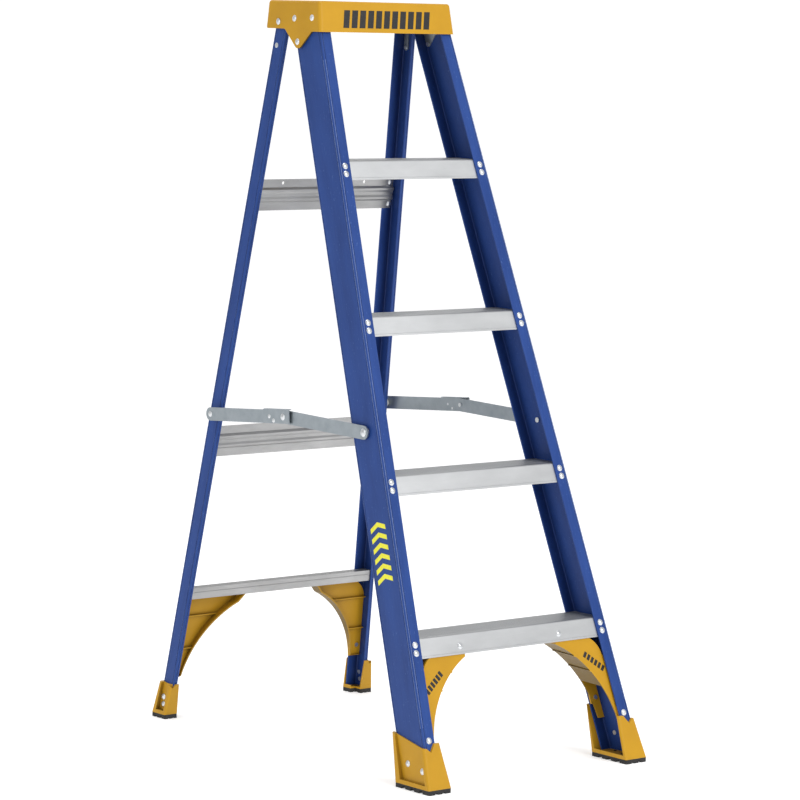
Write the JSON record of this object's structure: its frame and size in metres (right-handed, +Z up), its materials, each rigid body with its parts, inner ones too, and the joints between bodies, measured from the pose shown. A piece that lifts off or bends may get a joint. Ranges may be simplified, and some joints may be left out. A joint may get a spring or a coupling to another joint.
{
  "type": "step ladder",
  "caption": "Folding stepladder standing open: blue fibreglass rails, ribbed aluminium treads, yellow moulded cap, knee braces and boots, and folding side spreaders.",
  "frame": {"origin": "on the floor at the middle of the footprint", "axes": "+Z up, +X across the steps, and the climbing side faces -Y"},
  "size_m": [0.541, 0.87, 1.425],
  "materials": {
    "fibreglass_rail": "pultruded, satin, fine lengthwise fibre",
    "moulded_yellow": "moulded, satin",
    "ribbed_tread": "mill, extruded",
    "rear_bar": "mill, rolled",
    "plated_steel": "zinc plated",
    "rivet": "zinc plated, formed heads",
    "spacer": "moulded",
    "rubber_pad": "moulded rubber"
  },
  "bodies": {
    "front_section": {"front_rail_left": "fibreglass_rail", "front_rail_right": "fibreglass_rail", "step_1": "ribbed_tread", "step_2": "ribbed_tread", "step_3": "ribbed_tread", "step_4": "ribbed_tread", "top_cap": "moulded_yellow", "cap_backing_plate_left": "plated_steel", "cap_backing_plate_right": "plated_steel", "front_boot_left": "moulded_yellow", "front_boot_right": "moulded_yellow", "front_pad_left": "rubber_pad", "front_pad_right": "rubber_pad", "front_brace_left": "moulded_yellow", "front_brace_right": "moulded_yellow", "step_rivets": "rivet", "front_brace_rivets": "rivet", "front_boot_rivets": "rivet", "cap_rivets": "rivet", "fold_pins": "rivet", "spreader_front_pins": "rivet", "spreader_front_washers": "spacer"},
    "rear_section": {"rear_rail_left": "fibreglass_rail", "rear_rail_right": "fibreglass_rail", "rear_horizontal_top": "rear_bar", "rear_horizontal_middle": "rear_bar", "rear_horizontal_bottom": "rear_bar", "rear_boot_left": "moulded_yellow", "rear_boot_right": "moulded_yellow", "rear_pad_left": "rubber_pad", "rear_pad_right": "rubber_pad", "rear_brace_left": "moulded_yellow", "rear_brace_right": "moulded_yellow", "hinge_plate_left": "plated_steel", "hinge_plate_right": "plated_steel", "rear_horizontal_rivets": "rivet", "rear_brace_rivets": "rivet", "rear_boot_rivets": "rivet", "hinge_plate_rivets": "rivet", "spreader_rear_sockets": "rivet"},
    "left_front_arm": {"spreader_front_arm_left": "plated_steel"},
    "left_rear_arm": {"spreader_rear_arm_left": "plated_steel", "spreader_stop_clip_left": "plated_steel", "spreader_hinge_pin_left": "rivet", "spreader_rear_pin_left": "rivet", "spreader_clip_rivets_left": "rivet", "spreader_rear_bush_left": "spacer"},
    "right_front_arm": {"spreader_front_arm_right": "plated_steel"},
    "right_rear_arm": {"spreader_rear_arm_right": "plated_steel", "spreader_stop_clip_right": "plated_steel", "spreader_hinge_pin_right": "rivet", "spreader_rear_pin_right": "rivet", "spreader_clip_rivets_right": "rivet", "spreader_rear_bush_right": "spacer"}
  },
  "joints": [
    {"name": "fold", "type": "hinge", "parent": "front_section", "child": "rear_section", "pos_m": [0, 0.192, 1.384], "axis": [-1, 0, 0], "range_deg": [0, 28.5]},
    {"name": "left_front_arm_pivot", "type": "hinge", "parent": "front_section", "child": "left_front_arm", "pos_m": [0, -0.1627, 0.63], "axis": [1, 0, 0], "range_deg": [0, 89.3]},
    {"name": "left_middle_hinge", "type": "hinge", "parent": "left_front_arm", "child": "left_rear_arm", "pos_m": [0, 0.076, 0.635], "axis": [-1, 0, 0], "range_deg": [0, 151.3]},
    {"name": "right_front_arm_pivot", "type": "hinge", "parent": "front_section", "child": "right_front_arm", "pos_m": [0, -0.1627, 0.63], "axis": [1, 0, 0], "range_deg": [0, 89.3]},
    {"name": "right_middle_hinge", "type": "hinge", "parent": "right_front_arm", "child": "right_rear_arm", "pos_m": [0, 0.076, 0.635], "axis": [-1, 0, 0], "range_deg": [0, 151.3]}
  ],
  "couplings": [
    {"joint": "left_front_arm_pivot", "follows": "fold", "ratio": 3.1292},
    {"joint": "left_middle_hinge", "follows": "fold", "ratio": 5.303},
    {"joint": "right_front_arm_pivot", "follows": "fold", "ratio": 3.1292},
    {"joint": "right_middle_hinge", "follows": "fold", "ratio": 5.303}
  ]
}
